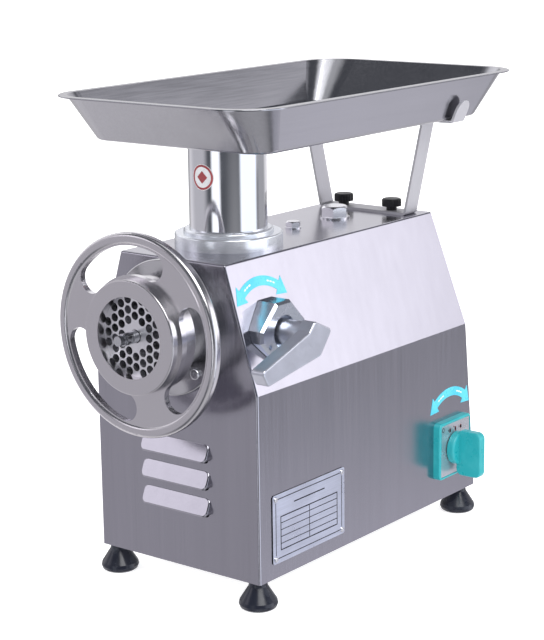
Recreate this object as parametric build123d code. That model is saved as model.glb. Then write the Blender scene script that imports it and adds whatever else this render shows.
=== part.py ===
from build123d import *
import math
import os

# Electric meat grinder, table-top. Millimetres. The parts are drawn in machine coordinates:
# X = 0 is the machine's centre plane (+X is the side with the lock bolt and the switch),
# Y = 0 is the front face of the housing (+Y is towards the rear), Z = 0 is the table.
# save() moves every part into the shared frame, whose origin is the middle of the
# bounding box on the table.

# ---- housing ----
SHEET = 1.5
HALF_WIDTH = 94.0
TOP_HALF_WIDTH = 60.0
BASE_Z = 25.4
FOLD_Z = 197.4
TOP_Z = 308.8
REAR_Y_BASE = 352.6
REAR_Y_TOP = 321.4
PANEL_SLOPE = math.atan2(HALF_WIDTH - TOP_HALF_WIDTH, TOP_Z - FOLD_Z)
FOOT_X = 83.0
FOOT_Y = (11.0, 339.0)
LOUVRE_Z = (85.5, 110.6, 135.7)
LOUVRE_DEPTH = 7.0
REAR_SCREWS = ((-84, 36), (84, 36), (-84, 180), (84, 180), (-50, 298), (50, 298))
GLAND_X = -55.0
GLAND_Z = 50.0

# ---- grinding head ----
HEAD_Z = 248.0
BARREL_R = 41.0
BARREL_BORE_R = 34.5
BARREL_REAR_Y = 118.0
THREAD_R = 46.4
FLANGE_R = 61.0
FLANGE_Y = -12.0
PLATE_R = 41.0
PLATE_FRONT_Y = -49.0
PLATE_BACK_Y = -40.0
PLATE_HOLE_R = 3.75
PLATE_PITCH = 9.1
BOSS_R = 50.8
BOSS_FRONT_Y = -58.3
WHEEL_R = 90.4
WHEEL_FRONT_Y = -51.0
OUTLET_R = 36.1
STUD_TIP_Y = -72.0
AUGER_R = 33.8

# ---- feed ----
THROAT_Y = 80.0
TUBE_R = 35.5
TUBE_BORE_R = 31.5
TUBE_BOTTOM_Z = 287.0
TRAY_FLOOR_Z = 405.0
TRAY_RIM_Z = 447.0
TRAY_HALF_WIDTH = 122.3
TRAY_FRONT_Y = -34.5
TRAY_REAR_Y = 395.7
TRAY_SHEET = 1.2
STRIP = 2.5
BRACKET_Y = 298.5
BRACKET_WIDTH = 20.0
THUMB_X = 29.0
TOP_PLUG_Y = 243.0
TOP_BOLT_Y = 176.0

# ---- controls ----
LOCK_Y = 42.0
LOCK_Z = 246.5
LOCK_FACE_X = 92.0
HANDLE_X = 130.0
SWITCH_Y = 305.5
SWITCH_Z = 78.0
KNOB_X = 133.0
BEZEL_FACE_X = 101.6
DIAL_FACE_X = 101.2
RATING_Y = (18.0, 125.5)
RATING_Z = (39.0, 103.0)
RATING_T = 0.9
LABEL_T = 0.25

# ---- drive ----
COUNTER_Z = 185.0
MOTOR_Z = 125.5
GEAR_MODULE = 1.75
CASE_FRONT_Y = 122.0
CASE_SPLIT_Y = 155.0
CASE_REAR_Y = 188.0
CASE_WALL = 12.0
OUTPUT_SHAFT_R = 14.0
SMALL_SHAFT_R = 9.0
MOTOR_R = 60.0
MOTOR_Y = (188.0, 312.0)
OUTPUT_TEETH = 54
COUNTER_PINION_TEETH = 18
COUNTER_TEETH = 51
MOTOR_PINION_TEETH = 17
BEARING_PLAY = 0.05

BOX_CENTRE_X = (KNOB_X - TRAY_HALF_WIDTH) / 2
BOX_CENTRE_Y = (STUD_TIP_Y + TRAY_REAR_Y) / 2


# ---- small shape helpers ----
def block(x, y, z):
    """Box from three (low, high) pairs."""
    size = [high - low for low, high in (x, y, z)]
    middle = [(low + high) / 2 for low, high in (x, y, z)]
    return Pos(*middle) * Box(*size)


def rod_x(radius, x_low, x_high, y=0.0, z=0.0):
    """Cylinder along X."""
    return Pos((x_low + x_high) / 2, y, z) * Rot(0, 90, 0) * Cylinder(radius, x_high - x_low)


def rod_y(radius, y_low, y_high, x=0.0, z=0.0):
    """Cylinder along Y."""
    return Pos(x, (y_low + y_high) / 2, z) * Rot(90, 0, 0) * Cylinder(radius, y_high - y_low)


def rod_z(radius, z_low, z_high, x=0.0, y=0.0):
    """Cylinder along Z."""
    return Pos(x, y, (z_low + z_high) / 2) * Cylinder(radius, z_high - z_low)


def ring_y(outer, inner, y_low, y_high, x=0.0, z=0.0):
    """Ring along Y."""
    return rod_y(outer, y_low, y_high, x, z) - rod_y(inner, y_low - 1, y_high + 1, x, z)


def ring_z(outer, inner, z_low, z_high, x=0.0, y=0.0):
    """Ring along Z."""
    return rod_z(outer, z_low, z_high, x, y) - rod_z(inner, z_low - 1, z_high + 1, x, y)


def facing_front(sketch, y_low, y_high):
    """Extrudes a sketch drawn as (x, z) from y_low to y_high."""
    plane = Plane(origin=(0, y_low, 0), x_dir=(1, 0, 0), z_dir=(0, -1, 0))
    return extrude(plane * sketch, amount=-(y_high - y_low))


def facing_side(sketch, x_low, x_high):
    """Extrudes a sketch drawn as (y, z) from x_low to x_high."""
    plane = Plane(origin=(x_low, 0, 0), x_dir=(0, 1, 0), z_dir=(1, 0, 0))
    return extrude(plane * sketch, amount=x_high - x_low)


def hex_head_z(across_flats, z_low, z_high, x, y):
    """Hexagon bolt head standing on z_low, with the usual turned-down top."""
    corner_r = across_flats / math.sqrt(3)
    height = z_high - z_low
    head = Pos(x, y, z_low) * extrude(RegularPolygon(corner_r, 6), height)
    cone = Pos(x, y, z_low) * Cone(corner_r + height, across_flats * 0.46, height + 0.01,
                                   align=(Align.CENTER, Align.CENTER, Align.MIN))
    return head & cone


def rounded_slab(half_x, y_low, y_high, corner, z):
    """Horizontal rounded rectangle, as a face at height z."""
    outline = RectangleRounded(2 * half_x, y_high - y_low, corner)
    return Pos(0, (y_low + y_high) / 2, z) * outline


def save(node, *shapes):
    """Writes one node in the shared frame."""
    to_frame = Pos(-BOX_CENTRE_X, -BOX_CENTRE_Y, 0)
    solids = [to_frame * solid for shape in shapes for solid in shape.solids()]
    result = solids[0] if len(solids) == 1 else Compound(children=solids)
    export_step(result, f"parts/{node}.step")


# ---- housing ----
def rear_wedge(forward):
    """Everything behind the leaning rear face, moved forward by the given distance."""
    lean = (REAR_Y_BASE - REAR_Y_TOP) / (TOP_Z - BASE_Z)
    outline = Polygon(
        (REAR_Y_BASE - forward + 100 * lean, BASE_Z - 100),
        (REAR_Y_BASE + 200, BASE_Z - 100),
        (REAR_Y_BASE + 200, TOP_Z + 100),
        (REAR_Y_TOP - forward - 100 * lean, TOP_Z + 100),
        align=None,
    )
    return facing_side(outline, -150, 150)


def housing_outline():
    return Polygon(
        (-HALF_WIDTH, BASE_Z),
        (HALF_WIDTH, BASE_Z),
        (HALF_WIDTH, FOLD_Z),
        (TOP_HALF_WIDTH, TOP_Z),
        (-TOP_HALF_WIDTH, TOP_Z),
        (-HALF_WIDTH, FOLD_Z),
        align=None,
    )


def louvre(z, inset):
    """Pressed hood with rounded corners; its face leans out to the lowest edge."""
    low, high, back = z - 7.5, z + 9.5, SHEET - 0.05
    outline = Pos(0, (low + high) / 2) * RectangleRounded(78 - 2 * inset, high - low, 5.5 - inset)
    slab = facing_front(outline, -LOUVRE_DEPTH - 1, back)
    leaning = Polygon((0, high), (-LOUVRE_DEPTH, low), (-LOUVRE_DEPTH, low - 5), (back + 1, low - 5),
                      (back + 1, high + 5), (0, high + 5), align=None)
    hood = slab & facing_side(leaning, -50, 50)
    hood = fillet(hood.faces().sort_by(Axis.Y)[0].edges(), 1.4)
    return Pos(0, inset, -inset) * hood


def lock_outline(grow=0.0):
    """Eight-sided outline of the lock boss, as (y, z)."""
    half_y, half_z, cut = 31.5 + grow, 27.0 + grow, 21.5
    return Pos(LOCK_Y, LOCK_Z) * Polygon(
        (-half_y + cut, half_z),
        (-half_y, half_z - cut),
        (-half_y, cut - half_z),
        (-half_y + cut, -half_z),
        (half_y - cut, -half_z),
        (half_y, cut - half_z),
        (half_y, half_z - cut),
        (half_y - cut, half_z),
        align=None,
    )


def housing_shell():
    outer = facing_front(housing_outline(), 0, REAR_Y_BASE) - rear_wedge(0)
    folds = [e for e in outer.edges() if e.center().Z > BASE_Z + 1 and e.center().Y < REAR_Y_TOP - 5]
    outer = fillet(folds, 2.0)
    hollow = facing_front(offset(housing_outline(), -SHEET, kind=Kind.INTERSECTION), SHEET, 400)
    hollow += block((SHEET - HALF_WIDTH, HALF_WIDTH - SHEET), (SHEET, 400), (BASE_Z - 5, BASE_Z + 5))
    shell = outer - hollow
    shell -= rod_y(BARREL_R + 0.5, -5, 5, 0, HEAD_Z)
    shell -= rod_z(TUBE_R + 0.5, TOP_Z - 5, TOP_Z + 5, 0, THROAT_Y)
    shell -= facing_side(lock_outline(0.3), 50, 100)
    shell -= block((HALF_WIDTH - 5, HALF_WIDTH + 5), (SWITCH_Y - 22, SWITCH_Y + 22),
                   (SWITCH_Z - 21, SWITCH_Z + 21))
    shell -= rod_z(8.5, TOP_Z - 5, TOP_Z + 5, 0, TOP_PLUG_Y)
    shell -= rod_z(4.2, TOP_Z - 5, TOP_Z + 5, 0, TOP_BOLT_Y)
    for x in (-THUMB_X, THUMB_X):
        shell -= rod_z(3.3, TOP_Z - 5, TOP_Z + 5, x, BRACKET_Y)
    for x, z in flange_points():
        shell -= rod_y(3.1, -5, 5, x, z)
    for z in LOUVRE_Z:
        shell += louvre(z, 0)
        shell -= louvre(z, 1.3)
    return shell


def rear_panel():
    outline = offset(housing_outline(), -SHEET - 0.1, kind=Kind.INTERSECTION)
    slab = facing_front(outline, 300, REAR_Y_BASE) - rear_wedge(0.5)
    slab -= slab & Pos(0, -SHEET, 0) * (facing_front(outline, 290, 400) - rear_wedge(0.5))
    for row in range(6):
        z = 90 + 14 * row
        for x in (-42, 0, 42):
            slot = rod_y(2.5, 300, 400, x - 14, z) + rod_y(2.5, 300, 400, x + 14, z)
            slab -= slot + block((x - 14, x + 14), (300, 400), (z - 2.5, z + 2.5))
    slab -= rod_y(9.2, 300, 400, GLAND_X, GLAND_Z)
    for x, z in REAR_SCREWS:
        slab -= rod_y(2.3, 300, 400, x, z)
    return slab


def rear_face_y(z):
    """Y of the rear panel's outside at height z."""
    lean = (REAR_Y_BASE - REAR_Y_TOP) / (TOP_Z - BASE_Z)
    return REAR_Y_BASE - 0.5 - (z - BASE_Z) * lean


def along_rear(shape, x, z):
    """Puts a shape drawn along +Z from the origin square onto the rear panel."""
    lean = math.degrees(math.atan2(REAR_Y_BASE - REAR_Y_TOP, TOP_Z - BASE_Z))
    return Pos(x, rear_face_y(z), z) * Rot(-90 + lean, 0, 0) * shape


def rear_screws():
    head = Pos(0, 0, 1.25) * Cylinder(4, 2.4)
    head -= Pos(0, 0, 2.2) * (Box(5, 1, 1) + Box(1, 5, 1))
    shank = Pos(0, 0, -3.9) * Cylinder(2, 8)
    return [along_rear(head + shank, x, z) for x, z in REAR_SCREWS]


def inlet_gland():
    """Cable inlet through the rear panel, with its hexagon and inner nut."""
    flange = Pos(0, 0, 0.05) * extrude(RegularPolygon(13, 6), 5)
    dome = Pos(0, 0, 9.04) * Cylinder(9.5, 8)
    stem = Pos(0, 0, -6) * Cylinder(8.8, 12.1)
    nut = Pos(0, 0, -6.6) * extrude(RegularPolygon(13, 6), 4)
    body = fillet((flange + dome).edges().sort_by(Axis.Z)[-1:], 3) + stem + nut
    return along_rear(body - Cylinder(4.5, 60), GLAND_X, GLAND_Z)


def base_plate():
    plate = block((-92.3, 92.3), (1.8, 349.8), (BASE_Z, BASE_Z + 2))
    for x in (-FOOT_X, FOOT_X):
        for y in FOOT_Y:
            plate -= rod_z(3.2, 20, 30, x, y)
    for i in range(5):
        plate -= block((-30, 30), (140 + 30 * i, 148 + 30 * i), (20, 30))
    return plate


def foot(x, y):
    """Rubber foot: narrow under the base, widest just above the table."""
    outline = Polyline((0, 0), (14.5, 0), (16.6, 1.6), (17.7, 4.6), (17.0, 7.6), (8.8, 20.5),
                       (8.0, BASE_Z), (0, BASE_Z), (0, 0))
    body = revolve(Plane.XZ * make_face(outline), Axis.Z)
    body -= rod_z(6.5, -1, 9) + rod_z(3.1, 0, 30)
    return Pos(x, y, 0) * body


def foot_screw(x, y):
    head = rod_z(5.8, 5.4, 8.99) - rod_z(2.6, 5, 7.4)
    shank = rod_z(2.9, 8.9, 36)
    nut = extrude(Pos(0, 0, BASE_Z + 2.05) * RegularPolygon(5.8, 6), 4.8) - rod_z(2.8, 20, 40)
    return Pos(x, y, 0) * (head + shank + nut)


def corner_points():
    return [(x, y) for x in (-FOOT_X, FOOT_X) for y in FOOT_Y]


# ---- plates and labels on the housing ----
def frame_lines(y, z, width):
    """Rectangular outline of the given line width, as (y, z)."""
    outer = Pos(sum(y) / 2, sum(z) / 2) * Rectangle(y[1] - y[0], z[1] - z[0])
    inner = Pos(sum(y) / 2, sum(z) / 2) * Rectangle(y[1] - y[0] - 2 * width, z[1] - z[0] - 2 * width)
    return outer - inner


def rating_plate():
    """Rating plate with an etched frame and an empty etched table."""
    centre = Pos(sum(RATING_Y) / 2, sum(RATING_Z) / 2)
    outline = centre * RectangleRounded(RATING_Y[1] - RATING_Y[0], RATING_Z[1] - RATING_Z[0], 2.5)
    face = HALF_WIDTH + RATING_T
    plate = facing_side(outline, HALF_WIDTH, face)
    border = frame_lines((22, 121.5), (43, 99), 0.9)
    for y in RATING_Y:
        for z in RATING_Z:
            border -= Pos(y, z) * Circle(8.6)
    table = frame_lines((29, 114.5), (50, 82), 1.1)
    rules = [Pos(71.75, 50 + 6.4 * i) * Rectangle(85, 0.8) for i in range(1, 5)]
    rules.append(Pos(71.75, 66) * Rectangle(0.9, 31))
    rules.append(Pos(71.75, 90.5) * Rectangle(46, 1.2))
    plate -= facing_side(border + table + rules, face - 0.15, face + 1)
    for y, z in plate_corners():
        plate -= rod_x(1.6, HALF_WIDTH - 1, face + 1, y, z)
    return plate


def plate_corners():
    return [(y, z) for y in (22.2, 121.3) for z in (43.2, 98.8)]


def plate_rivets():
    rivets = []
    for y, z in plate_corners():
        dome = rod_x(2.5, HALF_WIDTH + RATING_T, HALF_WIDTH + RATING_T + 1.3, y, z)
        dome = fillet(dome.edges().sort_by(Axis.X)[-1:], 1.1)
        rivets.append(dome + rod_x(1.55, HALF_WIDTH, HALF_WIDTH + RATING_T, y, z))
    return rivets


def double_arrow():
    """Curved double-headed arrow, 70 wide, centred on its own arc."""
    radius, half, spread = 44.0, 4.4, 35
    start = (radius * math.cos(math.radians(90 - spread)), radius * math.sin(math.radians(90 - spread)))
    band = Circle(radius + half) - Circle(radius - half)
    keep = Polygon((0, 0), (start[0] * 3, start[1] * 3), (0, 120), (-start[0] * 3, start[1] * 3), align=None)
    arrow = band & keep
    for side in (-1, 1):
        barb = 9.5 * side
        head = Polygon((0, radius + barb), (0, radius - barb), (side * 13, radius - 1.5), align=None)
        arrow += Rot(0, 0, -side * spread) * head
    return arrow


def lock_arrow():
    plane = Plane(origin=(HALF_WIDTH, 0, FOLD_Z), x_dir=(0, 1, 0),
                  z_dir=(math.cos(PANEL_SLOPE), 0, math.sin(PANEL_SLOPE)))
    return extrude(plane * Pos(38.5, 52.0) * double_arrow(), LABEL_T)


def switch_arrow():
    return facing_side(Pos(306, 89.5) * double_arrow(), HALF_WIDTH, HALF_WIDTH + LABEL_T)


# ---- switch ----
def switch_bezel():
    """Frame round the dial plate, with two screw holes hidden under the plate."""
    outline = Pos(SWITCH_Y, SWITCH_Z) * RectangleRounded(57, 58, 5)
    bezel = facing_side(outline, HALF_WIDTH, BEZEL_FACE_X)
    bezel = fillet(bezel.faces().sort_by(Axis.X)[-1].edges(), 1.6)
    seat = Pos(SWITCH_Y, SWITCH_Z) * RectangleRounded(51.8, 52.8, 2.4)
    bezel -= facing_side(seat, DIAL_FACE_X - 1, BEZEL_FACE_X + 1)
    bezel -= rod_x(6, HALF_WIDTH - 4, BEZEL_FACE_X + 1, SWITCH_Y, SWITCH_Z)
    for z in (-21, 21):
        bezel -= rod_x(1.8, HALF_WIDTH - 4, BEZEL_FACE_X + 1, SWITCH_Y - 17, SWITCH_Z + z)
    return bezel


def switch_face():
    """Dial plate with an etched ring and three etched position dots."""
    outline = Pos(SWITCH_Y, SWITCH_Z) * RectangleRounded(51.4, 52.4, 2.2)
    plate = facing_side(outline, DIAL_FACE_X - 1, DIAL_FACE_X)
    marks = Pos(283.5, 100) * (Circle(2.3) - Circle(1.5))
    for y, z in ((292.8, 97.5), (302.6, 99.5), (312.2, 97.5)):
        marks += Pos(y, z) * Circle(0.8)
    plate -= facing_side(marks, DIAL_FACE_X - 0.15, DIAL_FACE_X + 1)
    return plate - rod_x(5, DIAL_FACE_X - 2, DIAL_FACE_X + 1, SWITCH_Y, SWITCH_Z)


def switch_body():
    case = block((62, 93.9), (SWITCH_Y - 21, SWITCH_Y + 21), (SWITCH_Z - 20, SWITCH_Z + 20))
    case = fillet(case.edges().filter_by(Axis.X), 3)
    terminals = [block((56, 62), (SWITCH_Y - 14 + 11 * i, SWITCH_Y - 10 + 11 * i), (z, z + 6))
                 for i in range(3) for z in (64, 86)]
    return case - rod_x(3.3, 78, 95, SWITCH_Y, SWITCH_Z) + terminals


def switch_knob():
    """Round skirt with a tall flat grip."""
    skirt_x = DIAL_FACE_X + 0.8
    skirt = rod_x(16.5, skirt_x, skirt_x + 7.5, SWITCH_Y, SWITCH_Z)
    skirt = fillet(skirt.edges().sort_by(Axis.X)[-1:], 2.5)
    grip_x = skirt_x + 3
    outline = Pos((grip_x + KNOB_X) / 2, SWITCH_Z - 4) * RectangleRounded(KNOB_X - grip_x, 46, 6.5)
    grip = facing_front(outline, SWITCH_Y - 4.6, SWITCH_Y + 4.6)
    grip = fillet([e for e in grip.edges() if abs(abs(e.center().Y - SWITCH_Y) - 4.6) < 0.1], 1.4)
    hole = rod_x(3.0, 100, 118, SWITCH_Y, SWITCH_Z)
    return skirt + grip - hole


def switch_spindle():
    return rod_x(2.95, 79, 117.9, SWITCH_Y, SWITCH_Z)


# ---- grinding head ----
def barrel():
    """Cast barrel: threaded nose, neck, mounting flange, feed socket and rear seat."""
    body = rod_y(BARREL_R, -30, BARREL_REAR_Y, 0, HEAD_Z)
    body += rod_y(THREAD_R, -46, -28, 0, HEAD_Z)
    body += fillet(rod_y(FLANGE_R, FLANGE_Y, 0, 0, HEAD_Z).edges().sort_by(Axis.Y)[:1], 1.5)
    body += rod_z(BARREL_R - 3, HEAD_Z, TOP_Z - SHEET - 1, 0, THROAT_Y)
    body += rod_y(BARREL_R + 6, BARREL_REAR_Y - 10, BARREL_REAR_Y, 0, HEAD_Z)
    body -= rod_y(BARREL_BORE_R, -60, BARREL_REAR_Y - 6, 0, HEAD_Z)
    body -= rod_y(39, -60, -30, 0, HEAD_Z)
    body -= rod_y(PLATE_R + 0.3, -60, PLATE_BACK_Y, 0, HEAD_Z)
    body -= rod_z(TUBE_R + 0.3, TUBE_BOTTOM_Z, TOP_Z, 0, THROAT_Y)
    body -= rod_z(TUBE_BORE_R, HEAD_Z, TOP_Z, 0, THROAT_Y)
    body -= rod_y(20, 100, 130, 0, HEAD_Z)
    for x, z in flange_points():
        body -= rod_y(3, -20, 5, x, z)
    return body


def flange_points():
    offset_45 = 51 * math.sin(math.radians(45))
    return [(x, HEAD_Z + z) for x in (-offset_45, offset_45) for z in (-offset_45, offset_45)]


def flange_screws():
    screws = []
    for x, z in flange_points():
        head = fillet(rod_y(4.8, FLANGE_Y - 3.2, FLANGE_Y, x, z).edges().sort_by(Axis.Y)[:1], 1.2)
        head -= block((x - 2.6, x + 2.6), (FLANGE_Y - 4, FLANGE_Y - 2), (z - 0.6, z + 0.6))
        head -= block((x - 0.6, x + 0.6), (FLANGE_Y - 4, FLANGE_Y - 2), (z - 2.6, z + 2.6))
        screws.append(head + rod_y(2.9, FLANGE_Y, 6, x, z))
    return screws


def oil_seal():
    return ring_y(19.9, OUTPUT_SHAFT_R + BEARING_PLAY, 112.2, 118, 0, HEAD_Z)


def ring_nut():
    """Screwed ring with its three-spoked handwheel, one casting."""
    boss = fillet(rod_y(BOSS_R, BOSS_FRONT_Y, -28, 0, HEAD_Z).edges(), 1.2)
    web = rod_y(WHEEL_R - 5, WHEEL_FRONT_Y + 1.6, -43.5, 0, HEAD_Z)
    rim = ring_y(WHEEL_R, 80, WHEEL_FRONT_Y, -40.5, 0, HEAD_Z)
    rim = fillet(rim.edges(), 3.6)
    slots = [kidney_slot(90 + 15 + 120 * i) for i in range(3)]
    wheel = web - slots + rim + boss
    wheel -= rod_y(OUTLET_R, -70, -20, 0, HEAD_Z)
    return wheel - rod_y(THREAD_R + 0.3, PLATE_FRONT_Y, -20, 0, HEAD_Z)


def kidney_slot(angle):
    """Finger opening between the boss and the rim, centred at the given angle."""
    middle, half_width, spread = 66.5, 13.0, 33.0
    band = Circle(middle + half_width) - Circle(middle - half_width)
    reach = 200
    keep = Polygon((0, 0), (reach, -reach * math.tan(math.radians(spread))),
                   (reach, reach * math.tan(math.radians(spread))), align=None)
    slot = band & keep
    for side in (-1, 1):
        slot += Rot(0, 0, side * spread) * Pos(middle, 0) * Circle(half_width)
    return facing_front(Pos(0, HEAD_Z) * Rot(0, 0, angle) * slot, -60, -42)


def grinder_plate():
    """Perforated plate: hexagonal lattice of holes, centre hole and key notch."""
    plate = rod_y(PLATE_R, PLATE_FRONT_Y, PLATE_BACK_Y, 0, HEAD_Z)
    holes = [Pos(x, HEAD_Z + z) * Circle(PLATE_HOLE_R) for x, z in lattice_points()]
    plate -= facing_front(Sketch() + holes, PLATE_FRONT_Y - 1, PLATE_BACK_Y + 1)
    plate -= rod_y(6.0, PLATE_FRONT_Y - 1, PLATE_BACK_Y + 1, 0, HEAD_Z)
    return plate - rod_y(2.5, PLATE_FRONT_Y - 1, PLATE_BACK_Y + 1, 0, HEAD_Z - PLATE_R)


def lattice_points():
    """Hole centres: rows upright, one pitch apart, kept between the hub and the edge."""
    points = []
    for column in range(-4, 5):
        shift = PLATE_PITCH / 2 if column % 2 else 0
        for row in range(-4, 5):
            x = column * PLATE_PITCH * math.sqrt(3) / 2
            z = row * PLATE_PITCH + shift
            if 1.6 * PLATE_PITCH < math.hypot(x, z) < 34.5:
                points.append((x, z))
    return points


def cross_knife():
    """Four-bladed knife on the auger's square."""
    low, high = PLATE_BACK_Y + 0.05, -31.0
    knife = rod_y(14, low, high, 0, HEAD_Z)
    blade = Polygon((0, -5.5), (36.5, -3.5), (36.5, 4.5), (0, 5.5), align=None)
    for i in range(4):
        knife += facing_front(Pos(0, HEAD_Z) * Rot(0, 0, 90 * i + 20) * blade, low, high)
    return knife - block((-8.1, 8.1), (low - 1, high + 1), (HEAD_Z - 8.1, HEAD_Z + 8.1))


def auger():
    """Feed screw: core with one wide flight, square nose and rear socket."""
    core = rod_y(13, -29.5, 104, 0, HEAD_Z)
    core += rod_y(33, 100, 106, 0, HEAD_Z) + rod_y(20, 104, 110, 0, HEAD_Z)
    core += block((-8, 8), (-39.5, -29), (HEAD_Z - 8, HEAD_Z + 8))
    length, pitch, half_angle = 129.0, 43.0, 30.0
    x = AUGER_R * math.cos(math.radians(half_angle))
    z = AUGER_R * math.sin(math.radians(half_angle))
    lobe = Polyline((x, -z), (0, 0), (x, z)) + ThreePointArc((x, z), (AUGER_R, 0), (x, -z))
    section = Plane(origin=(0, -29, HEAD_Z), x_dir=(1, 0, 0), z_dir=(0, 1, 0)) * make_face(lobe)
    flight = Solid.extrude_linear_with_rotation(section.face(), (0, -29, HEAD_Z), (0, length, 0),
                                                360 * length / pitch)
    screw = core + flight
    screw -= block((-8.2, 8.2), (96, 111), (HEAD_Z - 8.2, HEAD_Z + 8.2))
    return screw - rod_y(5.6, -60, -10, 0, HEAD_Z)


def auger_stud():
    """Stud through the knife and the plate: flats for a spanner and a threaded tip."""
    stud = rod_y(5.5, -66, -10.5, 0, HEAD_Z)
    for side in (-1, 1):
        stud -= block((side * 5.9 - 1.4, side * 5.9 + 1.4), (-64, -56), (HEAD_Z - 6, HEAD_Z + 6))
    tip = rod_y(4.4, STUD_TIP_Y, -66, 0, HEAD_Z)
    for i in range(3):
        y = -70.6 + 1.5 * i
        tip -= ring_y(5, 3.9, y, y + 0.6, 0, HEAD_Z)
    return stud + tip


# ---- lock bolt ----
def lock_boss():
    """Eight-sided boss on the side of the barrel, bored for the lock bolt."""
    boss = facing_side(lock_outline(), 62, LOCK_FACE_X)
    boss = chamfer(boss.faces().sort_by(Axis.X)[-1].edges(), 2.2)
    boss += rod_x(22, 20, 64, LOCK_Y, LOCK_Z)
    boss -= rod_y(BARREL_R, -20, 120, 0, HEAD_Z)
    boss -= block((-10, 25), (0, 90), (200, 300))
    boss -= rod_x(10.3, 20, 100, LOCK_Y, LOCK_Z)
    boss -= rod_x(2.2, LOCK_FACE_X - 4, LOCK_FACE_X + 1, LOCK_Y - 20, LOCK_Z - 10)
    return boss - rod_x(15, 80, 100, LOCK_Y, LOCK_Z)


def lock_bolt():
    """Clamping bolt with a one-sided lever cast on its head."""
    stem = rod_x(10, 41.5, 82, LOCK_Y, LOCK_Z) + rod_x(11.6, 81, HANDLE_X - 12, LOCK_Y, LOCK_Z)
    outline = Polygon((-13.5, 7.5), (-79.7, -14.4), (-71.5, -28.2), (2, -16.4), (18.7, 4.1), (-6, 15.7),
                      align=None)
    lever = facing_side(Pos(LOCK_Y, LOCK_Z) * outline, HANDLE_X - 13, HANDLE_X)
    lever = fillet(lever.edges().filter_by(Axis.X), 3.5)
    lever = fillet(lever.faces().sort_by(Axis.X)[-1].edges(), 1.5)
    return stem + lever


# ---- feed throat and tray ----
def throat_tube():
    return ring_z(TUBE_R, TUBE_BORE_R, TUBE_BOTTOM_Z, TRAY_FLOOR_Z, 0, THROAT_Y)


def throat_collar():
    """Two-tier collar round the tube, standing on the top plate."""
    collar = rod_z(49.2, TOP_Z, TOP_Z + 12, 0, THROAT_Y)
    collar = fillet(collar.edges().sort_by(Axis.Z)[-1:], 1.5)
    step = rod_z(41, TOP_Z + 11, TOP_Z + 16, 0, THROAT_Y)
    step = fillet(step.edges().sort_by(Axis.Z)[-1:], 2.5)
    return collar + step - rod_z(TUBE_R, TOP_Z - 1, TOP_Z + 20, 0, THROAT_Y)


def on_tube(sketch, inner, outer):
    """Wraps a sketch drawn as (x, z) onto the front of the throat tube."""
    skin = ring_z(outer, inner, 340, 400, 0, THROAT_Y)
    return skin & facing_front(Pos(0, 374) * sketch, THROAT_Y - TUBE_R - 5, THROAT_Y - 20)


def throat_label():
    return on_tube(Circle(11.7), TUBE_R, TUBE_R + 0.2)


def throat_label_print():
    """Generic mark: a ring round a small square."""
    ring = Circle(11.2) - Circle(9.3)
    return on_tube(ring + Rot(0, 0, 45) * Rectangle(8, 8), TUBE_R + 0.2, TUBE_R + 0.35)


def tray_hull(inset, floor_z):
    """Solid between the tray's floor outline and its rim outline."""
    low = rounded_slab(99.5 - inset, 5 + inset, 350 - inset, 22 - inset, floor_z)
    high = rounded_slab(115.3 - inset, -27.5 + inset, 388.7 - inset, 38 - inset, TRAY_RIM_Z)
    return loft([low.face(), high.face()], ruled=True)


def hopper_tray():
    """Sheet tray: flat floor, leaning walls, narrow flat lip and a hole over the throat."""
    outer = tray_hull(0, TRAY_FLOOR_Z)
    outer = fillet(outer.faces().sort_by(Axis.Z)[0].edges(), 5)
    inner = tray_hull(TRAY_SHEET, TRAY_FLOOR_Z + TRAY_SHEET)
    inner = fillet(inner.faces().sort_by(Axis.Z)[0].edges(), 4)
    lip = extrude(rounded_slab(TRAY_HALF_WIDTH, TRAY_FRONT_Y, TRAY_REAR_Y, 45, TRAY_RIM_Z), -TRAY_SHEET)
    lip = fillet(lip.edges().group_by(Axis.Z)[-1], 0.5)
    return outer + lip - inner - rod_z(29.7, 400, 410, 0, THROAT_Y)


def tray_spigot():
    """Short collar welded under the tray; it drops into the throat tube."""
    return ring_z(31.1, 29.7, 382, TRAY_FLOOR_Z, 0, THROAT_Y)


def bracket_line():
    """Middle line of the tray bracket's right half, as (x, z)."""
    rest_z = TRAY_FLOOR_Z - STRIP / 2
    return [(0, TOP_Z + STRIP / 2), (50.6, TOP_Z + STRIP / 2), (71, rest_z), (104.4, rest_z), (112.6, 423)]


def tray_bracket():
    """One bent strip: foot on the top plate, two legs, two rests and two tabs."""
    y_low, y_high = BRACKET_Y - BRACKET_WIDTH / 2, BRACKET_Y + BRACKET_WIDTH / 2
    band = FilletPolyline(*bracket_line(), radius=2.6)
    strip = facing_front(make_face(Wire(band.edges()).offset_2d(STRIP / 2)), y_low, y_high)
    tab_square = block((100, 120), (y_low, y_high), (412, 440))
    tab_round = facing_side(Pos(BRACKET_Y, 414) * Circle(BRACKET_WIDTH / 2), 100, 120)
    half = strip - (tab_square - tab_round)
    half -= block((-10, 0), (y_low - 5, y_high + 5), (300, 320))
    whole = half + mirror(half, Plane.YZ)
    for x in (-THUMB_X, THUMB_X):
        whole -= rod_z(3.3, 300, 320, x, BRACKET_Y)
    return whole


def thumb_screw(x):
    """Black knurled thumb screw holding the bracket's foot."""
    head_z = TOP_Z + STRIP + 4
    head = rod_z(9.6, head_z, head_z + 7.5)
    head = fillet(head.edges().sort_by(Axis.Z)[-1:], 2)
    grooves = [Rot(0, 0, 20 * i) * rod_z(0.8, head_z - 1, head_z + 9, 9.9) for i in range(18)]
    neck = rod_z(5.2, TOP_Z + STRIP, head_z)
    shank = rod_z(3.0, TOP_Z - 9, TOP_Z + STRIP)
    return Pos(x, BRACKET_Y, 0) * (head - grooves + neck + shank)


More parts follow.
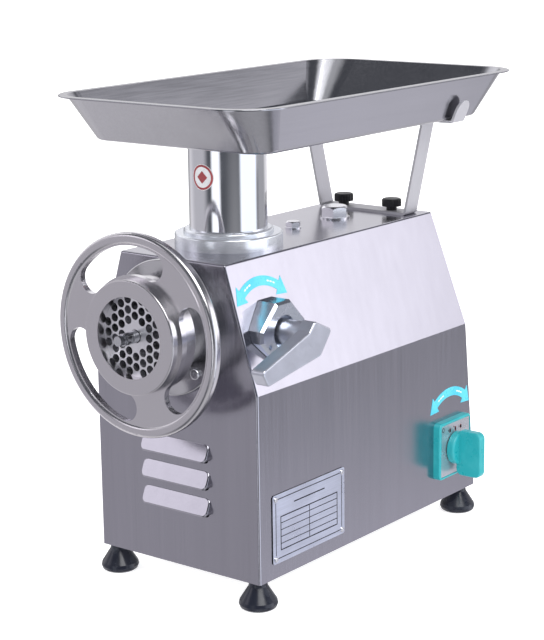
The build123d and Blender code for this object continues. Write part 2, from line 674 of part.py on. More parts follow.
def top_plug():
    """Large hexagon plug with its washer face and the nut under the sheet."""
    washer = rod_z(14.5, TOP_Z, TOP_Z + 1.6, 0, TOP_PLUG_Y)
    shank = rod_z(8, TOP_Z - 14, TOP_Z, 0, TOP_PLUG_Y)
    nut = Pos(0, TOP_PLUG_Y, TOP_Z - SHEET - 8) * extrude(RegularPolygon(14, 6), 8)
    return hex_head_z(24, TOP_Z + 1.6, TOP_Z + 12, 0, TOP_PLUG_Y) + washer + shank + nut


def top_bolt():
    """Hexagon bolt that holds the gearbox case up to the top plate."""
    washer = rod_z(7.6, TOP_Z, TOP_Z + 1.0, 0, TOP_BOLT_Y)
    shank = rod_z(3.9, TOP_Z - 5.3, TOP_Z, 0, TOP_BOLT_Y)
    return hex_head_z(13, TOP_Z + 1.0, TOP_Z + 6.5, 0, TOP_BOLT_Y) + washer + shank


# ---- gearbox ----
def roll_angle(r, base_r):
    return math.sqrt(max((r / base_r) ** 2 - 1, 0))


def involute(r, base_r):
    """Involute function at radius r: how far the flank has leaned over, in radians."""
    return roll_angle(r, base_r) - math.atan(roll_angle(r, base_r))


def involute_gear(teeth, width, y_low, z, turn=0.0):
    """Spur gear along Y with involute flanks and a little backlash."""
    pitch_r = GEAR_MODULE * teeth / 2
    base_r = pitch_r * math.cos(math.radians(20))
    tip_r = pitch_r + 0.95 * GEAR_MODULE
    root_r = pitch_r - 1.25 * GEAR_MODULE
    half_tooth = math.pi / (2 * teeth) + involute(pitch_r, base_r) - 0.06 * GEAR_MODULE / pitch_r
    start_r = max(base_r, root_r)
    radii = [start_r + (tip_r - start_r) * i / 4 for i in range(5)]
    root_angle = half_tooth + involute(start_r, base_r)
    flank = [(r, half_tooth - involute(r, base_r)) for r in radii]
    outline = []
    for tooth in range(teeth):
        middle = math.radians(turn) + 2 * math.pi * tooth / teeth
        outline.append((root_r, middle - root_angle))
        outline += [(r, middle - a) for r, a in flank]
        outline += [(r, middle + a) for r, a in reversed(flank)]
        outline.append((root_r, middle + root_angle))
    points = [(r * math.cos(a), r * math.sin(a)) for r, a in outline]
    face = make_face(Polyline(*points, close=True))
    return facing_front(Pos(0, z) * face, y_low, y_low + width)


def output_gear():
    gear = involute_gear(OUTPUT_TEETH, 16, 136, HEAD_Z, -90)
    return gear - rod_y(OUTPUT_SHAFT_R, 130, 160, 0, HEAD_Z)


def counter_pinion():
    pinion = involute_gear(COUNTER_PINION_TEETH, 18, 135, COUNTER_Z, 90 + 180 / COUNTER_PINION_TEETH)
    return pinion - rod_y(SMALL_SHAFT_R, 130, 160, 0, COUNTER_Z)


def counter_gear():
    gear = involute_gear(COUNTER_TEETH, 13, 159, COUNTER_Z, -90)
    return gear - rod_y(SMALL_SHAFT_R, 150, 180, 0, COUNTER_Z)


def motor_pinion():
    pinion = involute_gear(MOTOR_PINION_TEETH, 15, 158, MOTOR_Z, 90 + 180 / MOTOR_PINION_TEETH)
    return pinion - rod_y(SMALL_SHAFT_R, 150, 180, 0, MOTOR_Z)


def output_shaft():
    shaft = rod_y(OUTPUT_SHAFT_R, 111, 187, 0, HEAD_Z)
    return shaft + block((-8, 8), (97, 112), (HEAD_Z - 8, HEAD_Z + 8))


def counter_shaft():
    return rod_y(SMALL_SHAFT_R, 124, 186, 0, COUNTER_Z)


def case_outline(inset):
    """Gearbox outline as (x, z): big round top for the output gear, smaller below."""
    top = Pos(0, HEAD_Z) * Circle(57 - inset)
    lower = Pos(0, COUNTER_Z) * Circle(54 - inset)
    bottom = Pos(0, MOTOR_Z) * Circle(28 - inset)
    waist = Rectangle(2 * (50 - inset), HEAD_Z - COUNTER_Z)
    return top + lower + bottom + Pos(0, (HEAD_Z + COUNTER_Z) / 2) * waist


def case_screw_points():
    return [(-53.5, 216), (53.5, 216), (-45.5, 150), (45.5, 150)]


def case_ears(y_low, y_high):
    return [rod_y(8, y_low, y_high, x, z) for x, z in case_screw_points()]


def gearbox_front():
    case = facing_front(case_outline(0), CASE_FRONT_Y, CASE_SPLIT_Y)
    case += case_ears(CASE_SPLIT_Y - 8, CASE_SPLIT_Y)
    case -= facing_front(case_outline(5), CASE_FRONT_Y + CASE_WALL, CASE_SPLIT_Y + 1)
    case += rod_y(BARREL_R + 4, BARREL_REAR_Y, CASE_FRONT_Y, 0, HEAD_Z)
    case -= rod_y(28, CASE_FRONT_Y + 2, 140, 0, HEAD_Z)
    case -= rod_y(OUTPUT_SHAFT_R + 2, 110, 140, 0, HEAD_Z)
    case -= rod_y(20, 123.5, 140, 0, COUNTER_Z)
    for x, z in case_screw_points():
        case -= rod_y(2.6, 140, 160, x, z)
    return case


def gearbox_rear():
    case = facing_front(case_outline(0), CASE_SPLIT_Y, CASE_REAR_Y)
    case += case_ears(CASE_SPLIT_Y, CASE_SPLIT_Y + 8)
    case += rod_z(9, 295, TOP_Z - SHEET, 0, TOP_BOLT_Y)
    case -= facing_front(case_outline(5), CASE_SPLIT_Y - 1, CASE_REAR_Y - CASE_WALL)
    case -= rod_z(3.9, 297, 310, 0, TOP_BOLT_Y)
    case -= rod_y(28, 170, CASE_REAR_Y - 0.9, 0, HEAD_Z)
    case -= rod_y(20, 170, 186.5, 0, COUNTER_Z)
    case -= rod_y(20, 170, 200, 0, MOTOR_Z)
    for x, z in case_screw_points():
        case -= rod_y(2.6, 150, 170, x, z) + rod_y(6, CASE_SPLIT_Y + 8, 170, x, z)
    return case


def gearbox_screws():
    screws = []
    for x, z in case_screw_points():
        shank = rod_y(2.5, CASE_SPLIT_Y - 8, CASE_SPLIT_Y + 8, x, z)
        head = facing_front(Pos(x, z) * RegularPolygon(5, 6), CASE_SPLIT_Y + 8, CASE_SPLIT_Y + 12)
        screws.append(shank + head)
    return screws


def output_bearings():
    front = ring_y(28, OUTPUT_SHAFT_R + BEARING_PLAY, 124, 133.5, 0, HEAD_Z)
    rear = ring_y(28, OUTPUT_SHAFT_R + BEARING_PLAY, 177, 187, 0, HEAD_Z)
    return [front, rear]


def shaft_bearings():
    """Four alike: two on the countershaft, two on the motor shaft."""
    seats = ((123.5, COUNTER_Z), (176.5, COUNTER_Z), (178, MOTOR_Z), (302, MOTOR_Z))
    return [ring_y(20, SMALL_SHAFT_R + BEARING_PLAY, low, low + 10, 0, z) for low, z in seats]


# ---- motor ----
def motor_shell():
    return ring_y(MOTOR_R, MOTOR_R - 3, MOTOR_Y[0] + 10, MOTOR_Y[1] - 10, 0, MOTOR_Z)


def motor_end(y_low, y_high, bearing_low):
    cap = rod_y(MOTOR_R, y_low, y_high, 0, MOTOR_Z)
    cap -= rod_y(20, bearing_low, bearing_low + 10, 0, MOTOR_Z)
    return cap - rod_y(SMALL_SHAFT_R + 1, y_low - 1, y_high + 1, 0, MOTOR_Z)


def stator_core():
    core = ring_y(MOTOR_R - 3, 33, 222, 282, 0, MOTOR_Z)
    slots = [Pos(0, MOTOR_Z) * Rot(0, 0, 15 * i) * Pos(40, 0) * Rectangle(10, 4) for i in range(24)]
    return core - facing_front(Sketch() + slots, 220, 284)


def stator_windings():
    ends = []
    for low in (206, 282):
        ring = ring_y(52, 34.5, low, low + 16, 0, MOTOR_Z)
        ends.append(fillet(ring.edges().group_by(Axis.Y)[0 if low < 250 else -1], 4))
    return ends


def rotor_core():
    core = rod_y(32.4, 222, 282, 0, MOTOR_Z)
    return core - rod_y(SMALL_SHAFT_R, 210, 290, 0, MOTOR_Z)


def motor_shaft():
    return rod_y(SMALL_SHAFT_R, 157, 330, 0, MOTOR_Z)


def cooling_fan():
    fan = rod_y(16, 316, 328, 0, MOTOR_Z)
    for i in range(6):
        blade = Pos(0, MOTOR_Z) * Rot(0, 0, 60 * i) * Pos(31, 0) * Rectangle(40, 2.5)
        fan += facing_front(blade, 316, 327)
    return fan - rod_y(SMALL_SHAFT_R, 310, 335, 0, MOTOR_Z)


def motor_cradle():
    """Bent sheet saddle that carries the motor on the base plate."""
    floor_z = BASE_Z + 2
    saddle = block((-48, 48), (210, 290), (floor_z, floor_z + 3))
    for x in (-44, 44):
        saddle += block((x - 2, x + 2), (210, 290), (floor_z, 92))
    return saddle - rod_y(MOTOR_R, 200, 300, 0, MOTOR_Z)


# ---- electrical pieces ----
def capacitor():
    body = rod_y(19, 40, 110, -50, 52)
    body = fillet(body.edges(), 2)
    tabs = [block((x - 2.5, x + 2.5), (110, 118), (51.5, 52.5)) for x in (-57, -43)]
    return body + tabs


def capacitor_clip():
    strap = ring_y(21, 19, 68, 82, -50, 52) + block((-75, -25), (68, 82), (BASE_Z + 2, BASE_Z + 4))
    strap += block((-60, -40), (68, 82), (BASE_Z + 2, 33.5))
    return strap - rod_y(19, 60, 90, -50, 52)


def terminal_block():
    body = block((20, 40), (50, 102), (BASE_Z + 2, BASE_Z + 22))
    for i in range(4):
        body -= rod_z(3, BASE_Z + 12, BASE_Z + 30, 30, 58 + 12 * i)
    return body


def build_all():
    os.makedirs("parts", exist_ok=True)
    save("housing_shell", housing_shell())
    save("rear_panel", rear_panel())
    save("rear_panel_screws", *rear_screws())
    save("cable_inlet_gland", inlet_gland())
    save("base_plate", base_plate())
    save("feet", *[foot(x, y) for x, y in corner_points()])
    save("foot_screws", *[foot_screw(x, y) for x, y in corner_points()])
    save("rating_plate", rating_plate())
    save("rating_plate_rivets", *plate_rivets())
    save("lock_arrow_label", lock_arrow())
    save("switch_arrow_label", switch_arrow())
    save("switch_bezel", switch_bezel())
    save("switch_face_plate", switch_face())
    save("switch_body", switch_body())
    save("switch_knob", switch_knob())
    save("switch_spindle", switch_spindle())
    save("barrel", barrel())
    save("flange_screws", *flange_screws())
    save("oil_seal", oil_seal())
    save("ring_nut_handwheel", ring_nut())
    save("grinder_plate", grinder_plate())
    save("cross_knife", cross_knife())
    save("auger", auger())
    save("auger_stud", auger_stud())
    save("lock_boss", lock_boss())
    save("lock_bolt", lock_bolt())
    save("throat_tube", throat_tube())
    save("throat_collar", throat_collar())
    save("throat_label", throat_label())
    save("throat_label_print", throat_label_print())
    save("hopper_tray", hopper_tray())
    save("tray_spigot", tray_spigot())
    save("tray_bracket", tray_bracket())
    save("thumb_screw_left", thumb_screw(-THUMB_X))
    save("thumb_screw_right", thumb_screw(THUMB_X))
    save("top_plug", top_plug())
    save("top_bolt", top_bolt())
    save("output_gear", output_gear())
    save("output_shaft", output_shaft())
    save("counter_shaft", counter_shaft())
    save("counter_gear", counter_gear())
    save("counter_pinion", counter_pinion())
    save("motor_pinion", motor_pinion())
    save("gearbox_case_front", gearbox_front())
    save("gearbox_case_rear", gearbox_rear())
    save("gearbox_screws", *gearbox_screws())
    save("output_bearings", *output_bearings())
    save("shaft_bearings", *shaft_bearings())
    save("motor_shell", motor_shell())
    save("motor_end_front", motor_end(MOTOR_Y[0], MOTOR_Y[0] + 10, 170))
    save("motor_end_rear", motor_end(MOTOR_Y[1] - 10, MOTOR_Y[1], 302))
    save("stator_core", stator_core())
    save("stator_windings", *stator_windings())
    save("rotor_core", rotor_core())
    save("motor_shaft", motor_shaft())
    save("cooling_fan", cooling_fan())
    save("motor_cradle", motor_cradle())
    save("capacitor", capacitor())
    save("capacitor_clip", capacitor_clip())
    save("terminal_block", terminal_block())


build_all()
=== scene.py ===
import math

import bmesh
import bpy
from mathutils import Matrix, Vector


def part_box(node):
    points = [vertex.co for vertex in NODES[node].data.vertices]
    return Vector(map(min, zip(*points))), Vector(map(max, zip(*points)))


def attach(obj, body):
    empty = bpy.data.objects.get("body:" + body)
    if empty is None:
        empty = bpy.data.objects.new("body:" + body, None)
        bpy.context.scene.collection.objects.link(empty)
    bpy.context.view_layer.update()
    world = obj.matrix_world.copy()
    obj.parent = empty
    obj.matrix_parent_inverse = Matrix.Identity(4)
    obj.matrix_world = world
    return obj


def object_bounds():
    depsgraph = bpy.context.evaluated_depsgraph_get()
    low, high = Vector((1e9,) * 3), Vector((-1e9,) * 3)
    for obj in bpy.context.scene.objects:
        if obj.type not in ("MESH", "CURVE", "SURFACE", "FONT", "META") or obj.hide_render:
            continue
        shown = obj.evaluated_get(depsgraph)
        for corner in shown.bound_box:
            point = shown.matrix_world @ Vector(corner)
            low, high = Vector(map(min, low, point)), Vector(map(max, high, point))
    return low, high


# Electric meat grinder: looks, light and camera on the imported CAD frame. Metres.

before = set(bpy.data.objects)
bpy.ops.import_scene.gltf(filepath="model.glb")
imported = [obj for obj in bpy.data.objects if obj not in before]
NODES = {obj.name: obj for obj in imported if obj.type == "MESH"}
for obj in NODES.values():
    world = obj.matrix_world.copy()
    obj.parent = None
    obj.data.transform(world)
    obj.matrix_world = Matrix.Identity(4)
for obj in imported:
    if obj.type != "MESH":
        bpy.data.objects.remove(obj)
CAD_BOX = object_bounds()

MM = 0.001
INK_BLACK = (0.02, 0.02, 0.03)

# Printed marks.
ARROW_RADIUS = 44 * MM
ARROW_HALF_WIDTH = 4.4 * MM
FILM = 0.25 * MM
INK = 0.05 * MM
ARROW_BAR = (3.0 * MM, 1.5 * MM)
ARROW_BAR_DEGREES = (-27, -22, -17, 17, 22, 27)
SWITCH_MARK = (1.3 * MM, 4.0 * MM)
SWITCH_MARK_SHARES = (0.31, 0.5, 0.69)
SWITCH_MARK_DROP = 7 * MM

# Stage, lamp and camera.
FLOOR_HALF = 20.0
FLOOR_GLOW = 0.75
KEY_LAMP = {"azimuth": 60, "elevation": 50, "distance": 2.2, "size": 1.6, "energy": 30}
CAMERA_PLACE = (1.04415, -1.35765, 0.6238)
CAMERA_AZIMUTH = 38.12
CAMERA_ELEVATION = 13.18
CAMERA_ROLL = -0.79
CAMERA_LENS = 104.18
CAMERA_SENSOR = 36.0


def centre_of(node):
    low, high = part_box(node)
    return (low + high) / 2


HEAD_AXIS = centre_of("barrel")
THROAT_AXIS = centre_of("throat_tube")
MOTOR_AXIS = centre_of("motor_shell")


# ---- node helpers ----
class Material:
    """A Principled material whose colour, roughness and bump come from nodes."""

    def __init__(self, name, metallic=0.0, roughness=0.5):
        self.material = bpy.data.materials.new(name)
        self.material.use_nodes = True
        self.tree = self.material.node_tree
        self.shader = self.tree.nodes["Principled BSDF"]
        self.shader.inputs["Metallic"].default_value = metallic
        self.shader.inputs["Roughness"].default_value = roughness
        self.place = self.tree.nodes.new("ShaderNodeTexCoord").outputs["Object"]

    def node(self, kind, **settings):
        made = self.tree.nodes.new(kind)
        for key, value in settings.items():
            setattr(made, key, value)
        return made

    def link(self, source, target):
        self.tree.links.new(source, target)

    def noise(self, scale, detail):
        """Noise along object axes; scale is in repeats per metre on X, Y and Z."""
        stretch = self.node("ShaderNodeMapping")
        stretch.inputs["Scale"].default_value = scale
        self.link(self.place, stretch.inputs["Vector"])
        texture = self.node("ShaderNodeTexNoise")
        texture.inputs["Scale"].default_value = 1.0
        texture.inputs["Detail"].default_value = detail
        self.link(stretch.outputs["Vector"], texture.inputs["Vector"])
        return texture.outputs["Fac"]

    def math(self, operation, first, second=0.0):
        made = self.node("ShaderNodeMath", operation=operation)
        for socket, value in zip(made.inputs, (first, second)):
            if hasattr(value, "is_output"):
                self.link(value, socket)
            else:
                socket.default_value = value
        return made.outputs["Value"]

    def span(self, value, low, high, to_low=0.0, to_high=1.0):
        """Maps low..high of a value onto to_low..to_high, clamped."""
        made = self.node("ShaderNodeMapRange")
        self.link(value, made.inputs["Value"])
        ends = {"From Min": low, "From Max": high, "To Min": to_low, "To Max": to_high}
        for name, number in ends.items():
            made.inputs[name].default_value = number
        return made.outputs["Result"]

    def blend(self, share, first, second):
        """Mixes two colours, each a tuple or a socket."""
        made = self.node("ShaderNodeMix", data_type="RGBA")
        self.link(share, made.inputs[0])
        for socket, value in ((made.inputs[6], first), (made.inputs[7], second)):
            if hasattr(value, "is_output"):
                self.link(value, socket)
            else:
                socket.default_value = (*value, 1.0)
        return made.outputs[2]

    def radius(self, centre, axes):
        """Distance from an axis through centre, measured along the two named axes."""
        split = self.node("ShaderNodeSeparateXYZ")
        self.link(self.place, split.inputs["Vector"])
        squares = []
        for axis in axes:
            offset = self.math("SUBTRACT", split.outputs[axis], getattr(centre, axis.lower()))
            squares.append(self.math("MULTIPLY", offset, offset))
        return self.math("SQRT", self.math("ADD", *squares))

    def colour(self, socket):
        self.link(socket, self.shader.inputs["Base Color"])

    def roughness(self, socket):
        self.link(socket, self.shader.inputs["Roughness"])

    def bump(self, height, distance, strength):
        made = self.node("ShaderNodeBump")
        made.inputs["Strength"].default_value = strength
        made.inputs["Distance"].default_value = distance
        self.link(height, made.inputs["Height"])
        self.link(made.outputs["Normal"], self.shader.inputs["Normal"])


def shade(colour, factor):
    return tuple(min(1.0, channel * factor) for channel in colour)


# ---- metals ----
def brushed(name, colour, roughness, grain, metallic=1.0):
    """Sheet steel with a brushed grain, handling smudges and faint streaks."""
    m = Material(name, metallic=metallic, roughness=roughness)
    lines = m.noise(grain, 2.0)
    streaks = m.noise(tuple(g * 0.12 for g in grain), 3.0)
    smudge = m.noise((9, 9, 9), 4.0)
    tone = m.math("ADD", m.math("MULTIPLY", lines, 0.6), m.math("MULTIPLY", streaks, 0.4))
    m.colour(m.blend(m.span(tone, 0.3, 0.7), shade(colour, 0.95), shade(colour, 1.04)))
    rough = m.math("ADD", m.span(lines, 0.3, 0.7, roughness - 0.03, roughness + 0.03),
                   m.span(smudge, 0.35, 0.7, -0.01, 0.03))
    m.roughness(rough)
    m.bump(lines, 0.02 * MM, 0.05)
    return m.material


def turned(name, colour, roughness, centre, axes, pitch=0.5 * MM, metallic=1.0):
    """Machined metal with fine rings round an axis."""
    m = Material(name, metallic=metallic, roughness=roughness)
    distance = m.radius(centre, axes)
    rings = m.math("SINE", m.math("MULTIPLY", distance, 2 * math.pi / pitch))
    cloud = m.noise((60, 60, 60), 4.0)
    marks = m.math("MULTIPLY", m.span(rings, -1, 1), cloud)
    m.colour(m.blend(m.span(marks, 0.1, 0.6), shade(colour, 0.95), shade(colour, 1.04)))
    m.roughness(m.span(cloud, 0.3, 0.7, roughness - 0.03, roughness + 0.05))
    m.bump(m.math("ADD", rings, m.math("MULTIPLY", cloud, 0.5)), 0.012 * MM, 0.2)
    return m.material


def polished(name, colour, roughness, scratch=(300, 300, 20)):
    """Mirror-polished metal with hairlines and a trace of handling."""
    m = Material(name, metallic=1.0, roughness=roughness)
    lines = m.noise(scratch, 2.0)
    haze = m.noise((25, 25, 25), 3.0)
    m.colour(m.blend(haze, shade(colour, 0.95), shade(colour, 1.04)))
    m.roughness(m.math("ADD", m.span(haze, 0.35, 0.7, roughness - 0.02, roughness + 0.05),
                       m.span(lines, 0.5, 0.75, 0.0, 0.03)))
    m.bump(lines, 0.004 * MM, 0.3)
    return m.material


def cast(name, colour, roughness, grain=900, depth=0.08 * MM):
    """Cast metal with a fine pitted skin."""
    m = Material(name, metallic=1.0, roughness=roughness)
    skin = m.noise((grain,) * 3, 5.0)
    patch = m.noise((40, 40, 40), 3.0)
    m.colour(m.blend(m.span(patch, 0.3, 0.7), shade(colour, 0.92), shade(colour, 1.06)))
    m.roughness(m.span(skin, 0.3, 0.7, roughness - 0.05, roughness + 0.07))
    m.bump(skin, depth, 0.2)
    return m.material


# ---- plastics, rubber and film ----
def moulded(name, colour, roughness, texture=1400, depth=0.03 * MM, dust=None):
    """Moulded plastic or rubber with a fine texture and light scuffs."""
    m = Material(name, roughness=roughness)
    skin = m.noise((texture,) * 3, 3.0)
    scuff = m.noise((70, 70, 70), 5.0)
    worn = dust or shade(colour, 1.25)
    m.colour(m.blend(m.span(scuff, 0.5, 0.85), colour, worn))
    m.roughness(m.span(scuff, 0.3, 0.75, roughness - 0.04, roughness + 0.12))
    m.bump(skin, depth, 0.3)
    return m.material


def printed(name, colour, roughness, second):
    """Printed self-adhesive film: slight tone change and an orange-peel gloss."""
    m = Material(name, roughness=roughness)
    tone = m.noise((55, 55, 55), 2.0)
    peel = m.noise((500, 500, 500), 2.0)
    m.colour(m.blend(m.span(tone, 0.35, 0.65), colour, second))
    m.roughness(m.span(peel, 0.3, 0.7, roughness - 0.05, roughness + 0.05))
    m.bump(peel, 0.02 * MM, 0.3)
    return m.material


def etched(name, colour, roughness, ink, ink_x):
    """Metal plate whose cut lines, below ink_x, are filled with dark paint."""
    m = Material(name, metallic=0.85, roughness=roughness)
    split = m.node("ShaderNodeSeparateXYZ")
    m.link(m.place, split.inputs["Vector"])
    filled = m.math("LESS_THAN", split.outputs["X"], ink_x)
    grain = m.noise((50, 30, 900), 3.0)
    cloud = m.noise((30, 30, 30), 3.0)
    tone = m.span(m.math("MULTIPLY", grain, cloud), 0.1, 0.4)
    metal = m.blend(tone, shade(colour, 0.9), shade(colour, 1.06))
    m.colour(m.blend(filled, metal, ink))
    m.roughness(m.span(cloud, 0.3, 0.7, roughness - 0.05, roughness + 0.08))
    m.bump(grain, 0.01 * MM, 0.3)
    return m.material


def laminated(name, colour, pitch=1.2 * MM):
    """Stacked iron sheets along Y."""
    m = Material(name, metallic=0.9, roughness=0.5)
    split = m.node("ShaderNodeSeparateXYZ")
    m.link(m.place, split.inputs["Vector"])
    layers = m.math("SINE", m.math("MULTIPLY", split.outputs["Y"], 2 * math.pi / pitch))
    m.colour(m.blend(m.span(layers, -1, 1), shade(colour, 0.6), shade(colour, 1.1)))
    m.roughness(m.span(m.noise((200, 200, 200), 3.0), 0.3, 0.7, 0.4, 0.6))
    m.bump(layers, 0.1 * MM, 0.5)
    return m.material


def wound(name, colour, pitch=0.8 * MM):
    """Varnished copper wire, wound as bands."""
    m = Material(name, metallic=0.7, roughness=0.35)
    turns = m.math("SINE", m.math("MULTIPLY", m.radius(MOTOR_AXIS, "XZ"), 2 * math.pi / pitch))
    varnish = m.noise((90, 90, 90), 4.0)
    m.colour(m.blend(m.span(m.math("ADD", turns, varnish), -0.5, 1.5), shade(colour, 0.5), colour))
    m.roughness(m.span(varnish, 0.3, 0.7, 0.28, 0.45))
    m.bump(turns, 0.2 * MM, 0.6)
    return m.material


def dress(material, *names):
    """Gives CAD nodes a material in every slot."""
    for name in names:
        for slot in NODES[name].material_slots:
            slot.material = material


def dress_sheets():
    upright, lengthways = (900, 900, 14), (900, 14, 900)
    dress(brushed("brushed_sheet", (0.455, 0.447, 0.5), 0.2, upright), "housing_shell", "rear_panel")
    dress(brushed("inner_sheet", (0.45, 0.45, 0.46), 0.4, lengthways),
          "base_plate", "motor_cradle", "capacitor_clip")
    dress(brushed("tray_sheet", (0.44, 0.44, 0.47), 0.16, (600, 20, 600)), "hopper_tray", "tray_spigot")
    dress(brushed("bracket_strip", (0.5, 0.495, 0.53), 0.38, (300, 900, 20), 0.45), "tray_bracket")


def dress_head():
    dress(polished("polished_tube", (0.83, 0.84, 0.87), 0.07), "throat_tube")
    collar = turned("polished_collar", (0.87, 0.9, 0.96), 0.22, THROAT_AXIS, "XY", metallic=0.75)
    dress(collar, "throat_collar")
    dress(turned("head_casting", (0.68, 0.68, 0.7), 0.17, HEAD_AXIS, "XZ"), "barrel")
    wheel = turned("wheel_casting", (0.7, 0.685, 0.715), 0.22, HEAD_AXIS, "XZ", 0.7 * MM)
    dress(wheel, "ring_nut_handwheel")
    plate = turned("plate_steel", (0.93, 0.93, 0.97), 0.34, HEAD_AXIS, "XZ", 0.35 * MM)
    dress(plate, "grinder_plate")
    dress(turned("knife_steel", (0.16, 0.16, 0.17), 0.3, HEAD_AXIS, "XZ", 0.3 * MM), "cross_knife")
    dress(cast("screw_casting", (0.2, 0.2, 0.21), 0.35), "auger")
    dress(polished("stud_steel", (0.62, 0.63, 0.66), 0.18), "auger_stud")
    dress(polished("lock_casting", (0.68, 0.72, 0.8), 0.22, (200, 200, 200)), "lock_boss")
    dress(cast("lever_casting", (0.72, 0.74, 0.82), 0.34, 500, 0.02 * MM), "lock_bolt")
    dress(polished("bright_screws", (0.85, 0.85, 0.88), 0.22),
          "flange_screws", "rear_panel_screws", "foot_screws", "gearbox_screws", "top_plug", "top_bolt",
          "rating_plate_rivets")


def dress_plastics():
    rubber = moulded("foot_rubber", (0.012, 0.014, 0.024), 0.22, 500, 0.05 * MM, (0.04, 0.045, 0.06))
    dress(rubber, "feet")
    dress(moulded("seal_rubber", (0.02, 0.02, 0.02), 0.6), "oil_seal")
    dress(moulded("thumb_plastic", (0.012, 0.012, 0.015), 0.4), "thumb_screw_left", "thumb_screw_right")
    dress(moulded("black_plastic", (0.02, 0.02, 0.023), 0.45),
          "switch_body", "cable_inlet_gland", "cooling_fan", "terminal_block", "capacitor")
    teal = moulded("teal_plastic", (0.02, 0.34, 0.38), 0.28, dust=(0.05, 0.42, 0.46))
    dress(teal, "switch_bezel", "switch_knob")


def dress_labels():
    blue = printed("blue_film", (0.06, 0.5, 0.68), 0.3, (0.1, 0.58, 0.75))
    dress(blue, "lock_arrow_label", "switch_arrow_label")
    dress(printed("white_film", (0.8, 0.8, 0.82), 0.3, (0.72, 0.72, 0.75)), "throat_label")
    dress(printed("red_film", (0.3, 0.04, 0.05), 0.35, (0.38, 0.06, 0.07)), "throat_label_print")
    plates = (("rating_plate", (0.62, 0.65, 0.78), 0.3),
              ("switch_face_plate", (0.68, 0.69, 0.74), 0.28))
    for node, colour, roughness in plates:
        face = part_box(node)[1].x - INK
        dress(etched(f"etched_{node}", colour, roughness, INK_BLACK, face), node)


def dress_inside():
    dress(turned("gear_steel", (0.5, 0.5, 0.52), 0.3, HEAD_AXIS, "XZ"),
          "output_gear", "output_shaft", "counter_shaft", "counter_gear", "counter_pinion",
          "motor_pinion", "motor_shaft", "output_bearings", "shaft_bearings", "switch_spindle")
    dress(cast("cast_aluminium", (0.6, 0.6, 0.61), 0.45),
          "gearbox_case_front", "gearbox_case_rear", "motor_end_front", "motor_end_rear")
    dress(moulded("motor_paint", (0.05, 0.06, 0.075), 0.4, 900, 0.06 * MM), "motor_shell")
    dress(laminated("lamination", (0.3, 0.3, 0.31)), "stator_core", "rotor_core")
    dress(wound("copper_wire", (0.7, 0.32, 0.15)), "stator_windings")


# ---- printed marks ----
def stadium(length, width, steps=6):
    """Outline of a bar with round ends, as points in its own plane."""
    points = []
    for end in (1, -1):
        for i in range(steps + 1):
            turn = math.pi * (i / steps - 0.5)
            points.append((end * (length / 2 - width / 2 + width / 2 * math.cos(turn)),
                           end * width / 2 * math.sin(turn)))
    return points


def raised_bars(name, places, size, material):
    """Thin round-ended bars of ink as one piece; each place is a matrix with Z off the surface."""
    form = bmesh.new()
    for place in places:
        rings = [[form.verts.new(place @ Vector((x * shrink, y * shrink, height)))
                  for x, y in stadium(*size)]
                 for shrink, height in ((1.0, 0.0), (1.0, 0.6 * INK), (0.9, INK))]
        for below, above in zip(rings, rings[1:]):
            for i in range(len(below)):
                j = (i + 1) % len(below)
                form.faces.new((below[i], below[j], above[j], above[i]))
        form.faces.new(rings[-1])
        form.faces.new(list(reversed(rings[0])))
    mesh = bpy.data.meshes.new(name)
    form.to_mesh(mesh)
    form.free()
    mesh.materials.append(material)
    piece = bpy.data.objects.new(name, mesh)
    bpy.context.collection.objects.link(piece)
    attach(piece, "housing")
    return piece


def arrow_bar_places(node):
    """Matrices of the small bars printed along a curved arrow, near both of its ends."""
    low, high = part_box(node)
    lean = math.atan2(high.x - low.x - FILM, high.z - low.z)
    outward = Vector((math.cos(lean), 0, math.sin(lean)))
    upward = Vector((-math.sin(lean), 0, math.cos(lean)))
    apex = Vector((low.x, (low.y + high.y) / 2, high.z)) + outward * FILM
    centre = apex - upward * (ARROW_RADIUS + ARROW_HALF_WIDTH)
    places = []
    for degrees in ARROW_BAR_DEGREES:
        turn = math.radians(degrees)
        radial = upward * math.cos(turn) + Vector((0, math.sin(turn), 0))
        along = outward.cross(radial).normalized()
        columns = Matrix((along, radial, outward)).transposed().to_4x4()
        places.append(Matrix.Translation(centre + radial * ARROW_RADIUS) @ columns)
    return places


def print_marks():
    white = printed("white_ink", (0.82, 0.86, 0.88), 0.35, (0.7, 0.76, 0.8))
    red = printed("red_ink", (0.5, 0.04, 0.05), 0.35, (0.4, 0.03, 0.04))
    for node in ("lock_arrow_label", "switch_arrow_label"):
        bars = raised_bars(f"{node}_bars", arrow_bar_places(node), ARROW_BAR, white)
    low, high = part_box("switch_face_plate")
    face = Matrix(((0, 0, 1), (1, 0, 0), (0, 1, 0))).to_4x4()
    top = high.z - SWITCH_MARK_DROP
    places = [Matrix.Translation((high.x, low.y + share * (high.y - low.y), top)) @ face
              for share in SWITCH_MARK_SHARES]
    marks = raised_bars("switch_position_marks", places, SWITCH_MARK, red)


# ---- stage, light and camera ----
def floor():
    """Pale paper sheet on the table plane, left out of reflections."""
    mesh = bpy.data.meshes.new("floor")
    corners = [(x * FLOOR_HALF, y * FLOOR_HALF, 0) for x, y in ((-1, -1), (1, -1), (1, 1), (-1, 1))]
    mesh.from_pydata(corners, [], [(0, 1, 2, 3)])
    plane = bpy.data.objects.new("floor", mesh)
    bpy.context.collection.objects.link(plane)
    m = Material("floor_paper", roughness=0.9)
    m.colour(m.blend(m.noise((3, 3, 3), 2.0), (0.86, 0.86, 0.87), (0.88, 0.88, 0.89)))
    m.shader.inputs["Emission Color"].default_value = (1, 1, 1, 1)
    m.shader.inputs["Emission Strength"].default_value = FLOOR_GLOW
    mesh.materials.append(m.material)
    plane.visible_glossy = False


